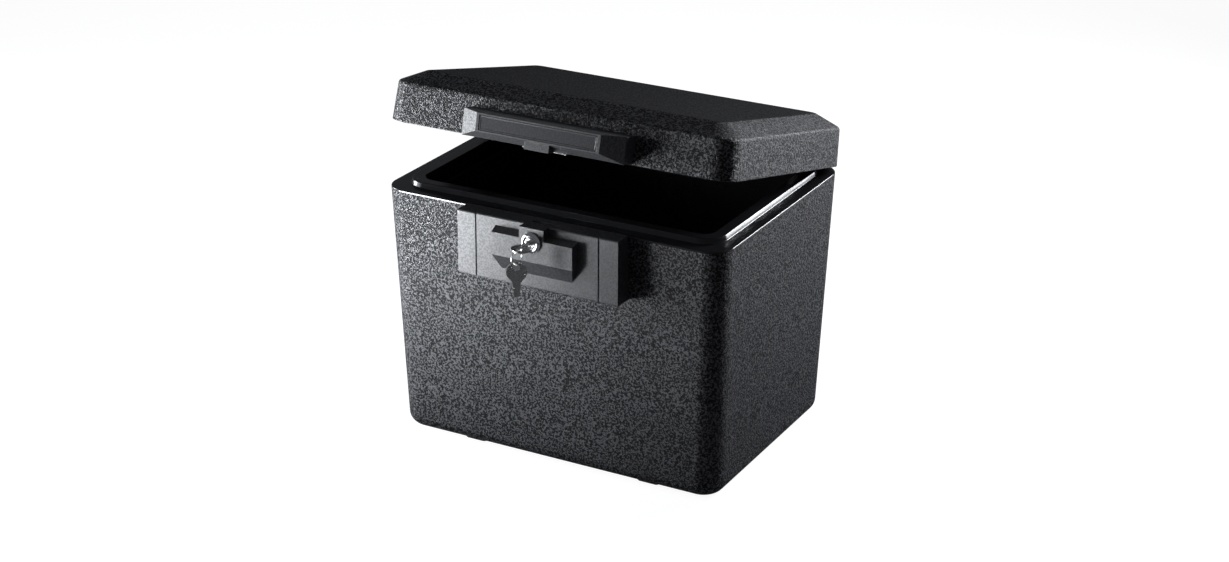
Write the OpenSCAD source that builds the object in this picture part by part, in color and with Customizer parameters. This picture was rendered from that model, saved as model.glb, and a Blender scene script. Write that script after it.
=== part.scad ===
// Fireproof document box: insulated file chest with a hinged lid, a cam lock and keys.
// Millimetres. +Z up, front face towards -Y, origin at the centre of the footprint on the floor.
// Lid pieces are drawn shut and then swung open together about the hinge pins.

/* [Body] */
// Outside width at the rim
body_w = 389; // [386:1:392]
// Outside depth at the rim
body_d = 284; // [282:1:286]
// Height of the rim above the floor
rim_z = 277; // [272:1:282]
// How much narrower each side is at the bottom
draft_x = 8.5; // [6:0.5:10]
// How much shallower front and back are at the bottom
draft_y = 10; // [7:0.5:12]
// Radius of the upright corners
corner_r = 24; // [22:1:26]
// Rounding under the body
bottom_r = 14; // [10:1:16]
// Skin thickness of the textured shells
skin = 3; // [2.6:0.1:3.2]
// Height of the feet
foot_h = 4; // [3:0.5:6]

/* [Cavity] */
// Floor of the document well above the floor
well_floor = 35; // [32:1:45]
// Half width of the well under the file rails
well_hx = 154; // [152:0.5:154.5]
// Half depth of the well under the file rails
well_hy = 110; // [106:0.5:111]
// Thickness of the smooth inner mouldings
liner_t = 2.5; // [2:0.1:2.8]
// Height of the tongue round the rim
tongue_h = 5.5; // [4.5:0.1:5.8]

/* [Lid] */
// Opening angle at rest, from shut
lid_open = 14; // [0:0.5:60]
// Gap between lid skirt and rim when shut
lid_gap = 1.6; // [1.4:0.1:1.8]
// Height of the upright part of the lid
skirt_h = 40.6; // [38:0.2:43]
// Height of the sloped edge of the lid
bevel_h = 12.5; // [10:0.5:14]
// Inward run of the sloped edge
bevel_in = 24.1; // [18:0.5:26]

/* [Lock] */
// Half width of the lock housing
plate_hx = 91.5; // [90:0.5:93]
// Height of the lock above the rim (negative is below)
lock_dz = -14; // [-14:0.5:-13.5]

/* [Hidden] */
$fn = 48;
corner_steps = 8; // facets in each rounded corner of a loft
fit = 0.1;        // clearance round the insulation
seat_gap = 0.05;  // clearance behind the lock housing and handle

// Body and cavity. A "half" is a [half width, half depth] pair.
body_half = [body_w / 2, body_d / 2];
front_y = -body_half[1];
cap_z = rim_z - 2;     // top of the shell, under the liner's rim
ledge_z = rim_z - 15;  // where the well widens towards its mouth
well_half = [well_hx, well_hy];
floor_half = [well_hx - 4, well_hy - 12];
ledge_half = [165, 112];
mouth_half = [166, 113];
tongue_half = [180, 126];
tongue_r = 23.6;
foot_x = 103;
foot_y = 110.5;

// Shut lid
lid_z = rim_z + lid_gap;
skirt_z = lid_z + skirt_h;
lid_top = skirt_z + bevel_h;
lid_draft = 2.24;
lid_half = [body_half[0] + 0.9, body_half[1] + 0.9];
skirt_half = [lid_half[0] - lid_draft, lid_half[1] - lid_draft];
panel_half = [skirt_half[0] - bevel_in, skirt_half[1] - bevel_in];
lid_front_y = -lid_half[1];
flange_top = rim_z + 4.1;
groove_block_half = [186, 132];
groove_block_top = rim_z + 9;
pocket_half = [164.5, 111.5];

// Hinges
hinge_x = 105;
hinge_y = body_half[1] + 2.5;
hinge_z = rim_z + 1.2;
knuckle_r = 4;
pin_r = 2;
leaf_screw_x = [-20, 20];
body_leaf_screw_z = -18; // from the rim
lid_leaf_screw_z = 17;   // from the bottom of the skirt
body_lean = atan(draft_y / (rim_z - foot_h));
lid_lean = atan(lid_draft / skirt_h);

// Lock housing and lock
housing_wall = 2.5; // also the wall of the handle
plate_top = rim_z + 1;
plate_bottom = rim_z - 67;
plate_y = front_y - 20;
pod_y = front_y - 30;
neck_hx = 14; // half width of the blocks above the lock
lock_z = rim_z + lock_dz;
barrel_r = 8;
barrel_len = 17.9;
plug_r = 6;
cam_y = front_y - 11;
cam_t = 2;
cam_outer_r = 23;
cam_inner_r = 20;
housing_posts = [for (z = [plate_bottom + 15, plate_top - 13]) for (x = [-80, 80]) [x, z]];

// Keys
key_t = 1.8;
key_y = pod_y - 19;
key_hole_y = -5.2; // from the centre of the bow
key_ring_r = 7.6;
wire_r = 0.65;
key_ring_y = key_y - 9.45;
key_ring_z = lock_z + 1.2 - (key_ring_r - wire_r);
key_ring_yaw = -10.6;
spare_key_yaw = 28;

// Handle, label and strike
handle_bottom = rim_z + 2.6;
handle_top = rim_z + 30;
handle_y = lid_front_y - 30;     // front face
handle_end_y = lid_front_y - 18; // front edge at the two ends
handle_face_hx = 69.5;
handle_face_z = rim_z + 10.5;
handle_posts = [[-78, rim_z + 16], [78, rim_z + 16], [-38, rim_z + 19], [38, rim_z + 19]];
label_hx = 66;
label_z = rim_z + 12;
label_h = 15.5;
strike_screw_x = [-18.5, 22.8];

// Colours shared by several pieces
shell_black = [0.13, 0.13, 0.14];
insulation_buff = [0.72, 0.7, 0.66];
liner_black = [0.05, 0.05, 0.06];
housing_grey = [0.36, 0.36, 0.38];
hinge_black = [0.08, 0.08, 0.09];
post_screw_grey = [0.6, 0.6, 0.62];
dull_steel = [0.7, 0.7, 0.7];
screw_steel = [0.75, 0.75, 0.75];
pin_steel = [0.75, 0.75, 0.76];
key_steel = [0.8, 0.8, 0.78];

// ---- outlines ----

// A ring is [z, half width, half depth, corner radius].
function ring(z, half, grow, r) = [z, half[0] + grow, half[1] + grow, r];

// half width and half depth of the body at height z, inset from the outside
function body_narrowing(z) = (rim_z - z) / (rim_z - foot_h);
function body_hx(z, inset) = body_half[0] - draft_x * body_narrowing(z) - inset;
function body_hy(z, inset) = body_half[1] - draft_y * body_narrowing(z) - inset;
function body_ring(z, inset, r) = [z, body_hx(z, inset), body_hy(z, inset), r];

// half depth of the shut lid's skirt at height z
function lid_hy(z) = lid_half[1] - lid_draft * (z - lid_z) / skirt_h;

// inner face of the front walls at height z
function body_wall_y(z) = -body_hy(z, skin);
function lid_wall_y(z) = -lid_hy(z) + skin;

function ring_points(h) = [for (q = [0:3]) for (i = [0:corner_steps])
  let (
    angle = 90 * q + 90 * i / corner_steps,
    side_x = (q == 0 || q == 3) ? 1 : -1,
    side_y = q < 2 ? 1 : -1)
  [side_x * (h[1] - h[3]) + h[3] * cos(angle), side_y * (h[2] - h[3]) + h[3] * sin(angle), h[0]]];

// ---- helpers ----

// solid through a stack of rings
module loft(rings) {
  n = 4 * (corner_steps + 1);
  m = len(rings);
  polyhedron(
    points = [for (h = rings) each ring_points(h)],
    faces = concat(
      [[for (i = [0:n - 1]) i]],
      [for (k = [0:m - 2]) for (i = [0:n - 1])
        [k * n + i, (k + 1) * n + i, (k + 1) * n + (i + 1) % n, k * n + (i + 1) % n]],
      [[for (i = [0:n - 1]) m * n - 1 - i]]),
    convexity = 8);
}

// round bar along Y
module rod(x, y_from, y_to, z, r) {
  translate([x, y_from, z]) rotate([-90, 0, 0]) cylinder(h = y_to - y_from, r = r);
}

// profile of [y, z] points drawn across x_from..x_to
module across(x_from, x_to, profile) {
  translate([x_from, 0, 0]) rotate([90, 0, 90])
    linear_extrude(height = x_to - x_from) polygon(profile);
}

// turns a shut lid piece about the hinge pins to its resting angle
module swing() {
  translate([0, hinge_y, hinge_z]) rotate([-lid_open, 0, 0])
    translate([0, -hinge_y, -hinge_z]) children();
}

// pan head screw with a cross recess: head at the origin pointing to +Y, shank to -Y
module pan_screw(length, shank_r, head_r) {
  rotate([0, 0, 180]) difference() {
    union() {
      rotate([90, 0, 0]) rotate_extrude()
        polygon([[0, 0], [head_r, 0], [head_r, 1.1], [head_r - 1, 2], [0, 2]]);
      rod(0, -0.2, length, 0, shank_r);
    }
    translate([-0.45, -2.5, -2]) cube([0.9, 1.6, 4]);
    translate([-2, -2.5, -0.45]) cube([4, 1.6, 0.9]);
  }
}

// room in the insulation for a screw head on the inner face of a front wall
module head_room(post, wall_y) { rod(post[0], wall_y - 1, wall_y + 3.4, post[1], 4.3); }

// hollow behind the front of the lock housing or handle
module housing_hollow(front, bottom, top) {
  translate([-plate_hx + housing_wall, front + housing_wall, bottom + housing_wall])
    cube([2 * (plate_hx - housing_wall), 40, top - bottom - 2 * housing_wall]);
}

// bar on the pin line of both hinges, centred x_shift from the middle of each
module hinge_rods(half_length, r, x_shift = 0) {
  for (side = [-1, 1])
    translate([side * hinge_x + x_shift - half_length, hinge_y, hinge_z]) rotate([0, 90, 0])
      cylinder(h = 2 * half_length, r = r);
}

// frames on the sloping back faces of body and lid, one at each hinge
module at_body_leaves() {
  for (side = [-1, 1])
    translate([side * hinge_x, body_half[1], rim_z]) rotate([-body_lean, 0, 0]) children();
}
module at_lid_leaves() {
  for (side = [-1, 1])
    translate([side * hinge_x, lid_half[1], lid_z]) rotate([lid_lean, 0, 0]) children();
}
module at_body_leaf_screws() {
  at_body_leaves() for (x = leaf_screw_x) translate([x, 0, body_leaf_screw_z]) children();
}
module at_lid_leaf_screws() {
  at_lid_leaves() for (x = leaf_screw_x) translate([x, 0, lid_leaf_screw_z]) children();
}

module at_feet() {
  for (x = [-foot_x, foot_x]) for (y = [-foot_y, foot_y]) translate([x, y, 0]) children();
}

module at_strike_screws(z) {
  for (x = strike_screw_x) translate([x, cam_y, z]) children();
}

// ---- body ----

// space inside the body skin, up to height top
module body_inside(gap, top) {
  loft([
    body_ring(foot_h + skin + gap, skin + bottom_r - 4 + gap, 12),
    body_ring(foot_h + skin + 4 + gap, skin + 4 + gap, 17),
    body_ring(foot_h + bottom_r, skin + gap, corner_r - skin),
    body_ring(top, skin + gap, corner_r - skin)]);
}

module body_shell() color(shell_black) difference() {
  loft(concat(
    [for (k = [0:6])
      let (angle = 90 * k / 6, inset = bottom_r * (1 - sin(angle)))
      body_ring(foot_h + bottom_r * (1 - cos(angle)), inset, corner_r - inset)],
    [body_ring(cap_z, 0, corner_r)]));
  body_inside(0, rim_z + 1);
  hinge_rods(15.3, knuckle_r + 0.5);
  for (p = housing_posts) rod(p[0], front_y - 2, front_y + 10, p[1], 2.2);
  at_body_leaf_screws() rod(0, -6, 2, 0, 2.2);
  at_feet() translate([0, 0, foot_h - 1]) cylinder(h = skin + 2, r = 3.1);
}

module body_insulation() color(insulation_buff) difference() {
  grow = liner_t + fit;
  body_inside(fit, cap_z - fit);
  loft([
    ring(well_floor - grow, floor_half, grow - 5, 12),
    ring(well_floor + 5 - liner_t, floor_half, grow, 16),
    ring(ledge_z, well_half, grow, 16),
    ring(rim_z, well_half, grow, 16)]);
  loft([ring(ledge_z - grow, ledge_half, grow, 16), ring(rim_z, mouth_half, grow, 16)]);
  for (p = housing_posts) head_room(p, body_wall_y(p[1]));
  at_body_leaf_screws() rod(0, -16, 2, 0, 2.1);
}

// document well and its wider mouth
module well() {
  loft([
    ring(well_floor, floor_half, -5, 10),
    ring(well_floor + 1.6, floor_half, -1.6, 12),
    ring(well_floor + 5, floor_half, 0, 14),
    ring(ledge_z + 0.1, well_half, 0, 14),
    ring(rim_z, well_half, 0, 14)]);
  loft([
    ring(ledge_z, ledge_half, 0, 13.5),
    ring(rim_z + 3, mouth_half, 0, 13.5),
    ring(rim_z + 8, mouth_half, 0, 13.5)]);
}

module body_liner() color(liner_black) {
  difference() {
    union() {
      // rim
      loft([
        ring(cap_z, body_half, -0.1, corner_r),
        ring(rim_z - 0.9, body_half, -0.1, corner_r),
        ring(rim_z - 0.25, body_half, -0.5, corner_r - 0.5),
        ring(rim_z, body_half, -1.4, corner_r - 1.4)]);
      // tongue: [height above the rim, outward growth]
      loft([for (station = [[-1, 0.4], [0.4, 0], [tongue_h - 1.4, -0.6],
          [tongue_h - 0.4, -1.2], [tongue_h, -2.4]])
        ring(rim_z + station[0], tongue_half, station[1], tongue_r + station[1])]);
      // outside of the well and its mouth
      loft([
        ring(well_floor - liner_t, floor_half, liner_t - 5, 12),
        ring(well_floor + 5 - liner_t, floor_half, liner_t, 16),
        ring(rim_z - 1.5, well_half, liner_t, 16)]);
      loft([
        ring(ledge_z - liner_t, ledge_half, liner_t, 16),
        ring(rim_z - 1.5, mouth_half, liner_t, 16)]);
    }
    well();
    hinge_rods(15.3, knuckle_r + 0.5);
    hinge_rods(32, knuckle_r + 0.1);
  }
  // rails that hanging files hook over
  for (side = [-1, 1])
    translate([side * (well_hx + 1.5) - 1.5, -98, ledge_z - 1.5]) cube([3, 196, 9.5]);
}

module feet() color([0.06, 0.06, 0.06]) at_feet() {
  loft([[0, 12.3, 6.9, 3.6], [0.8, 12.9, 7.4, 4], [foot_h - 0.02, 13, 7.4, 4]]);
  translate([0, 0, foot_h - 1]) cylinder(h = skin, r = 3);
}

// ---- lock housing ----

housing_back_bottom = -body_hy(plate_bottom, 0) - seat_gap;
housing_back_top = -body_hy(plate_top, 0) - seat_gap;

// faceted block standing out in front of the plate
module pod() {
  top = lock_z + 3;
  low = top - 24;
  back = plate_y + 1;
  polyhedron(
    points = [
      [-46, pod_y, low], [46, pod_y, low], [46, pod_y, top], [-46, pod_y, top],
      [-40, back, top - 42.7], [40, back, top - 42.7],
      [47.2, back, low], [47.2, back, top + 3.6], [-47.2, back, top + 3.6], [-47.2, back, low]],
    faces = [[3, 2, 1, 0], [0, 1, 5, 4], [1, 6, 5], [1, 2, 7, 6], [2, 3, 8, 7],
      [3, 0, 9, 8], [0, 4, 9], [4, 5, 6, 7, 8, 9]]);
}

module lock_housing() color(housing_grey) difference() {
  union() {
    difference() {
      union() {
        across(-plate_hx, plate_hx, [
          [plate_y, plate_bottom + 1], [plate_y + 1, plate_bottom],
          [housing_back_bottom, plate_bottom], [housing_back_top, plate_top],
          [plate_y + 1, plate_top], [plate_y, plate_top - 1]]);
        pod();
        translate([-neck_hx, pod_y, lock_z]) cube([2 * neck_hx, 12, plate_top - lock_z]);
      }
      housing_hollow(plate_y, plate_bottom, plate_top);
      translate([-43, pod_y + 2.6, lock_z - 18.5]) cube([86, 20, 19]);
      translate([-neck_hx + 2, pod_y + 3, lock_z - 14])
        cube([2 * (neck_hx - 2), 20, plate_top - 2.5 - lock_z + 14]);
    }
    // screw posts, trimmed to the slope of the body
    for (p = housing_posts) intersection() {
      rod(p[0], plate_y + 1, front_y + 6, p[1], 4.5);
      across(-plate_hx, plate_hx, [
        [plate_y, plate_bottom], [housing_back_bottom, plate_bottom],
        [housing_back_top, plate_top], [plate_y, plate_top]]);
    }
  }
  for (p = housing_posts) rod(p[0], plate_y + 6, front_y + 8, p[1], 1.95);
  // upright grooves
  for (x = [-70, 70])
    translate([x - 0.8, plate_y - 1, plate_bottom - 1])
      cube([1.6, 2.2, plate_top - plate_bottom + 2]);
  // bore for the lock barrel
  rod(0, pod_y - 1, pod_y + 4, lock_z, barrel_r + 0.1);
  // slot the cam hook rises through
  translate([-9, cam_y - 2, plate_top - 4]) cube([28.6, 4, 6]);
}

module housing_screws() color(post_screw_grey) for (p = housing_posts)
  translate([p[0], body_wall_y(p[1]) + 0.25, p[1]]) pan_screw(16, 1.9, 4);

// ---- lock ----

// profile of [radius, distance forward of the pod face]
module lock_barrel() color([0.85, 0.85, 0.86])
  translate([0, pod_y, lock_z]) rotate([90, 0, 0]) rotate_extrude() polygon([
    [plug_r + 0.05, -barrel_len], [barrel_r, -barrel_len], [barrel_r, 0], [11, 0], [11, 1.3],
    [10.6, 2.4], [9.6, 3.4], [8.2, 3.9], [7.3, 3.6], [6.7, 2.7], [plug_r + 0.05, 2.2]]);

module lock_nut() color(pin_steel)
  translate([0, pod_y + 3.02, lock_z]) rotate([-90, 0, 0]) difference() {
    rotate([0, 0, 30]) cylinder(h = 4, r = 11.5, $fn = 6);
    translate([0, 0, -1]) cylinder(h = 6, r = barrel_r + 0.05);
  }

module lock_plug() color([0.8, 0.8, 0.8]) translate([0, 0, lock_z]) difference() {
  union() {
    rod(0, pod_y - 2.6, pod_y + barrel_len, 0, plug_r);
    // flat-sided end that carries the cam
    intersection() {
      rod(0, pod_y + 17, cam_y + 1, 0, 4);
      translate([-2.75, pod_y + 17, -5]) cube([5.5, 10, 10]);
    }
  }
  // keyway, then the hole for the cam screw
  translate([-4, pod_y - 4, -1.15]) cube([8, 13, 2.3]);
  rod(0, pod_y + 13, cam_y + 3, 0, 1.65);
}

// hook-shaped cam, arm towards +X when unlocked
module lock_cam() color(dull_steel)
  translate([0, cam_y + 1, lock_z]) rotate([90, 0, 0]) difference() {
    union() {
      cylinder(h = cam_t, r = 7);
      translate([0, -3, 0]) cube([cam_outer_r - 1.5, 6, cam_t]);
      rotate([0, 0, -8]) rotate_extrude(angle = 38)
        translate([cam_inner_r, 0]) square([cam_outer_r - cam_inner_r, cam_t]);
    }
    intersection() {
      translate([0, 0, -1]) cylinder(h = 4, r = 4.05);
      translate([-2.8, -5, -1]) cube([5.6, 10, 4]);
    }
  }

module cam_screw() color(screw_steel)
  translate([0, cam_y + 1.02, lock_z]) pan_screw(6.5, 1.6, 3.8);

// ---- keys ----

// bow centred on the origin, blade towards +Y
module key_blank() linear_extrude(height = key_t) difference() {
  blade_hx = 3.8;
  union() {
    circle(r = 10.3);
    polygon([[-9.2, 4.4], [9.2, 4.4], [blade_hx, 11.4], [blade_hx, 24.8], [2.2, 26.4],
      [-2.2, 26.4], [-blade_hx, 24.8], [-blade_hx, 11.4]]);
  }
  translate([0, key_hole_y]) circle(r = 3.4);
  // bitting along both edges of the blade
  for (k = [0:2]) translate([blade_hx, 16.8 + 3 * k])
    polygon([[0.2, -1.1 - 0.1 * k], [0.2, 1.1 + 0.1 * k],
      [-0.5 - 0.25 * k, 0.4], [-0.5 - 0.25 * k, -0.4]]);
  for (k = [0:2]) translate([-blade_hx, 16.8 + 3 * k])
    polygon([[-0.2, -1.3 + 0.1 * k], [-0.2, 1.3 - 0.1 * k],
      [0.9 - 0.2 * k, 0.4], [0.9 - 0.2 * k, -0.4]]);
}

module key() color(key_steel) translate([0, key_y, lock_z - key_t / 2]) key_blank();

module key_ring() color([0.82, 0.82, 0.82])
  translate([0, key_ring_y, key_ring_z]) rotate([0, 0, key_ring_yaw]) rotate([0, 90, 0])
    rotate_extrude() translate([key_ring_r, 0]) circle(r = wire_r);

// hangs from the ring, blade down
module spare_key() color(key_steel)
  translate([0, key_ring_y, key_ring_z - key_ring_r - 2.3]) rotate([0, 0, spare_key_yaw])
    rotate([-90, 0, 0]) translate([0, -key_hole_y, -key_t / 2]) key_blank();

// ---- hinges ----

module body_knuckles(gap) {
  for (end = [-1, 1]) hinge_rods(7.5, knuckle_r + gap, end * 22.5);
}

module lid_knuckles(gap) { hinge_rods(14.7 + gap, knuckle_r + gap); }

module leaf(bottom, height, screw_z) difference() {
  translate([-30, 0.06, bottom]) cube([60, 2.5, height]);
  for (x = leaf_screw_x) rod(x, -1, 4, screw_z, 2.15);
}

module hinge_leaves_body() color(hinge_black) difference() {
  union() {
    body_knuckles(0);
    at_body_leaves() leaf(-28, 26.6, body_leaf_screw_z);
  }
  lid_knuckles(0.4);
  hinge_rods(31, pin_r + 0.03);
}

module hinge_leaves_lid() color(hinge_black) swing() difference() {
  union() {
    lid_knuckles(0);
    at_lid_leaves() leaf(0.2, 27, lid_leaf_screw_z);
  }
  body_knuckles(0.4);
  hinge_rods(31, pin_r + 0.05);
}

// pins with a wider head at each end
module hinge_pins() color(pin_steel) {
  hinge_rods(30.4, pin_r);
  for (end = [-1, 1]) hinge_rods(0.6, 3, end * 30.9);
}

module hinge_screws_body() color(dull_steel)
  at_body_leaf_screws() translate([0, 2.6, 0]) pan_screw(16, 2, 4);

module hinge_screws_lid() color(dull_steel) swing()
  at_lid_leaf_screws() translate([0, 2.6, 0]) pan_screw(14, 2, 4);

// ---- lid ----

module lid_shell() color(shell_black) swing() difference() {
  loft([
    ring(lid_z, lid_half, 0, corner_r),
    ring(skirt_z - 1.4, skirt_half, 0.07, 22.4),
    ring(skirt_z + 0.6, skirt_half, -1.2, 21.4),
    ring(lid_top - 0.4, panel_half, 0.8, 9),
    ring(lid_top, panel_half, -1.6, 7.6)]);
  loft([
    ring(lid_z - 1, lid_half, -skin, corner_r - skin),
    ring(skirt_z - 1.5, skirt_half, -skin, 19.4),
    ring(lid_top - skin, panel_half, 0, 7)]);
  hinge_rods(32, knuckle_r + 0.5);
  for (p = handle_posts) rod(p[0], lid_front_y - 1, lid_front_y + 10, p[1], 2.2);
  at_lid_leaf_screws() rod(0, -6, 2, 0, 2.2);
}

// outside of the lid liner's middle pocket
module pocket_outside(gap) {
  loft([
    ring(rim_z + 2, pocket_half, gap, 16),
    ring(rim_z + 32 - liner_t, pocket_half, gap - 6.9, 15),
    ring(rim_z + 35 + liner_t + gap, pocket_half, gap - 10, 14)]);
}

module lid_insulation() color(insulation_buff) swing() difference() {
  loft([
    ring(flange_top + fit, lid_half, -skin - 0.15 - fit, corner_r - skin),
    ring(skirt_z - 1.5 - fit, skirt_half, -skin - fit, 19.4),
    ring(lid_top - skin - fit, panel_half, -0.3, 7)]);
  loft([for (z = [rim_z, groove_block_top + fit]) ring(z, groove_block_half, fit, 22)]);
  pocket_outside(fit);
  for (p = handle_posts) head_room(p, lid_wall_y(p[1]));
  at_lid_leaf_screws() rod(0, -16, 2, 0, 2.1);
}

module lid_liner() color(liner_black) swing() difference() {
  union() {
    // flange inside the skirt, and the lower face round the groove
    loft([
      ring(lid_z, lid_half, -skin - 0.15, corner_r - skin),
      ring(flange_top, lid_half, -skin - 0.25, corner_r - skin)]);
    loft([
      [rim_z + 0.3, 189.8, 137.3, 21.4],
      [rim_z + 0.9, 190.4, 137.9, 22],
      [rim_z + 3, 190.4, 137.9, 22]]);
    loft([for (z = [rim_z + 1, groove_block_top]) ring(z, groove_block_half, 0, 22)]);
    pocket_outside(0);
  }
  // groove over the tongue
  difference() {
    loft([ring(rim_z - 1, tongue_half, 1.6, 24.6), ring(rim_z + 6.5, tongue_half, 1.2, 24.2)]);
    loft([for (z = [rim_z + 2, rim_z + 12]) ring(z, pocket_half, 0, 16)]);
  }
  // hollow that adds to the document space
  loft([
    ring(rim_z - 2, pocket_half, -3, 13.5),
    ring(rim_z + 2, pocket_half, -3, 13.5),
    ring(rim_z + 31, pocket_half, -9.5, 12.5),
    ring(rim_z + 35, pocket_half, -13.5, 10)]);
}

// ---- handle, label and strike ----

// block on the side of a plane through point that its direction outward points to
module beyond(point, outward) {
  translate(point)
    rotate([0, acos(outward[2] / norm(outward)), atan2(outward[1], outward[0])])
      translate([-150, -150, 0]) cube([300, 300, 150]);
}

module handle_body() {
  slope_y = lid_front_y - 15;
  difference() {
    translate([0, 0, handle_bottom]) linear_extrude(height = handle_top - handle_bottom)
      polygon([
        [-plate_hx, lid_front_y + 9], [-plate_hx, handle_end_y], [-handle_face_hx, handle_y],
        [handle_face_hx, handle_y], [plate_hx, handle_end_y], [plate_hx, lid_front_y + 9]]);
    // top edge falls 1 mm towards the front
    across(-100, 100, [
      [handle_end_y, handle_top], [handle_y - 6, handle_top - 1.5],
      [handle_y - 6, handle_top + 4], [handle_end_y, handle_top + 4]]);
    // lower face slopes back, with a small three-cornered face at each end
    intersection() {
      across(-110, 110, [
        [slope_y + 3, handle_bottom - 1.58], [handle_y - 3, handle_face_z + 1.58],
        [handle_y - 20, handle_face_z + 1.58], [handle_y - 20, handle_bottom - 12],
        [slope_y + 3, handle_bottom - 12]]);
      beyond([handle_face_hx, handle_y, handle_face_z], [-23.7, -181.7, -342]);
      beyond([-handle_face_hx, handle_y, handle_face_z], [23.7, -181.7, -342]);
    }
  }
}

module lid_handle() color(housing_grey) swing() difference() {
  union() {
    difference() {
      union() {
        handle_body();
        translate([-neck_hx, handle_y + 2, rim_z + 1.4]) cube([2 * neck_hx, 11.5, 14]);
      }
      housing_hollow(handle_end_y, handle_bottom, handle_top);
      translate([-66.5, handle_y + 3, rim_z + 13])
        cube([133, 20, handle_top - rim_z - 16.5]);
    }
    // screw posts; the outer two start further back
    for (p = handle_posts)
      rod(p[0], handle_y + 2 + (abs(p[0]) > 60 ? 12 : 0), lid_front_y + 8, p[1], 4.2);
    at_strike_screws(handle_bottom) cylinder(h = 12, r = 3.4);
  }
  // back of the handle follows the slope of the lid's front wall
  across(-100, 100, [
    [-lid_hy(handle_bottom - 5) - seat_gap, handle_bottom - 5],
    [-lid_hy(handle_top + 5) - seat_gap, handle_top + 5],
    [lid_front_y + 20, handle_top + 5], [lid_front_y + 20, handle_bottom - 5]]);
  for (p = handle_posts) rod(p[0], lid_front_y - 12, lid_front_y + 6, p[1], 1.95);
  at_strike_screws(handle_bottom - 1) cylinder(h = 10.5, r = 1.55);
  // opening above the strike, and seat for the label plate
  translate([-neck_hx, cam_y - 4, handle_bottom - 1]) cube([33.5, 8, 6]);
  translate([-label_hx, handle_y - 1, label_z]) cube([2 * label_hx, 2.2, label_h]);
}

module label_plate() color([0.25, 0.25, 0.27]) swing()
  translate([-label_hx + 0.1, handle_y + 0.4, label_z + 0.1])
    cube([2 * label_hx - 0.2, 0.78, label_h - 0.2]);

module handle_screws() color(post_screw_grey) swing() for (p = handle_posts)
  translate([p[0], lid_wall_y(p[1]) + 0.35, p[1]]) pan_screw(13.5, 1.9, 4);

// steel plate with the window that the cam hook catches over
module strike_plate() color([0.7, 0.7, 0.72]) swing() difference() {
  translate([-22.5, cam_y - 5.6, rim_z + 1.3]) cube([49.3, 12, 1.28]);
  translate([-4.5, cam_y - 2.5, rim_z]) cube([23, 5, 4]);
  at_strike_screws(rim_z + 1.2) cylinder(h = 1.6, r1 = 3.15, r2 = 1.55);
}

module strike_screws() color(screw_steel) swing() at_strike_screws(rim_z + 1.35) {
  cylinder(h = 1.25, r1 = 2.9, r2 = 1.5);
  translate([0, 0, 1]) cylinder(h = 8, r = 1.5);
}

body_shell();
body_insulation();
body_liner();
feet();
lock_housing();
housing_screws();
lock_barrel();
lock_nut();
hinge_leaves_body();
hinge_pins();
hinge_screws_body();
lock_plug();
lock_cam();
cam_screw();
key();
key_ring();
spare_key();
lid_shell();
lid_insulation();
lid_liner();
lid_handle();
label_plate();
handle_screws();
strike_plate();
strike_screws();
hinge_leaves_lid();
hinge_screws_lid();
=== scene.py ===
"""Fireproof document box with its lid 14 degrees open, a front lock with keys, and rear hinges.

X runs across the box, the front faces -Y and Z = 0 is the floor. Meshes are built in
millimetres and scaled to metres in piece(). The lid is built shut, then swung on its hinges.
"""

import math

import bmesh
import bpy
import numpy as np
from mathutils import Matrix, Vector


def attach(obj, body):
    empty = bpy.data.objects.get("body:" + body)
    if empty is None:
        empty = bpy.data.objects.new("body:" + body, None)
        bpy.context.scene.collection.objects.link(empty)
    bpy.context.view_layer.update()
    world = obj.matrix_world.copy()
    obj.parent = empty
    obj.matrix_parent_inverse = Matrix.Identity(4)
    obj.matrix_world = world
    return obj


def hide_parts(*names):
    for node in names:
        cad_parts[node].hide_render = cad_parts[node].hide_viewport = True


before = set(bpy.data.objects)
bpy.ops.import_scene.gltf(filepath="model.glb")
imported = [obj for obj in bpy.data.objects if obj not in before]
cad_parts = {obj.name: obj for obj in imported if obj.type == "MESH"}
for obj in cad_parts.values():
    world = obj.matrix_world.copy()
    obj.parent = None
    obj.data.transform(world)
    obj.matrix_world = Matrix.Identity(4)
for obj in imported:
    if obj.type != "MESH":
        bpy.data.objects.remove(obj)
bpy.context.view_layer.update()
MM = 0.001
COLLECTION = bpy.context.scene.collection

# ---------------------------------------------------------------- driving sizes (mm)
BODY_BASE, RIM, LID_BASE = 4.0, 277.0, 278.6  # heights of the shell edges
BODY_HEIGHT = RIM - BODY_BASE
BODY_X, BODY_Y = 194.5, 142.0  # half sizes at the rim
BODY_DRAFT_X, BODY_DRAFT_Y = 8.5, 10.0  # how much narrower each half is at the base
CORNER, WALL = 24, 3
LID_Y, LID_DRAFT, LID_SIDE = 142.9, 2.24, 40.6  # half depth, and draft over a side height
LID_OPEN = math.radians(14)
HINGE_Y, HINGE_Z = 144.5, 278.2  # pin axis
HINGES = (-105, 105)
PIN_HALF = 31.5
POD_FRONT = -172.0  # front of the block that carries the lock
HOUSING_BACK_FACE = -161  # back of the housing's front edge chamfer
FIXING_X = 80  # housing screws
LOCK_Z = 263.0
CAM_Y = -153.0  # middle of the cam's thickness
CAM_BACK = CAM_Y + 1
SEAT_GAP = 0.05  # between a moulding and the shell behind it

PIVOT = Vector((0, HINGE_Y, HINGE_Z)) * MM
SWING = (
    Matrix.Translation(PIVOT)
    @ Matrix.Rotation(-LID_OPEN, 4, "X")
    @ Matrix.Translation(-PIVOT)
)


def body_x(z, inset=0.0):
    return BODY_X - BODY_DRAFT_X * (RIM - z) / BODY_HEIGHT - inset


def body_y(z, inset=0.0):
    return BODY_Y - BODY_DRAFT_Y * (RIM - z) / BODY_HEIGHT - inset


def lid_y(z):
    return LID_Y - LID_DRAFT * (z - LID_BASE) / LID_SIDE


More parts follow.
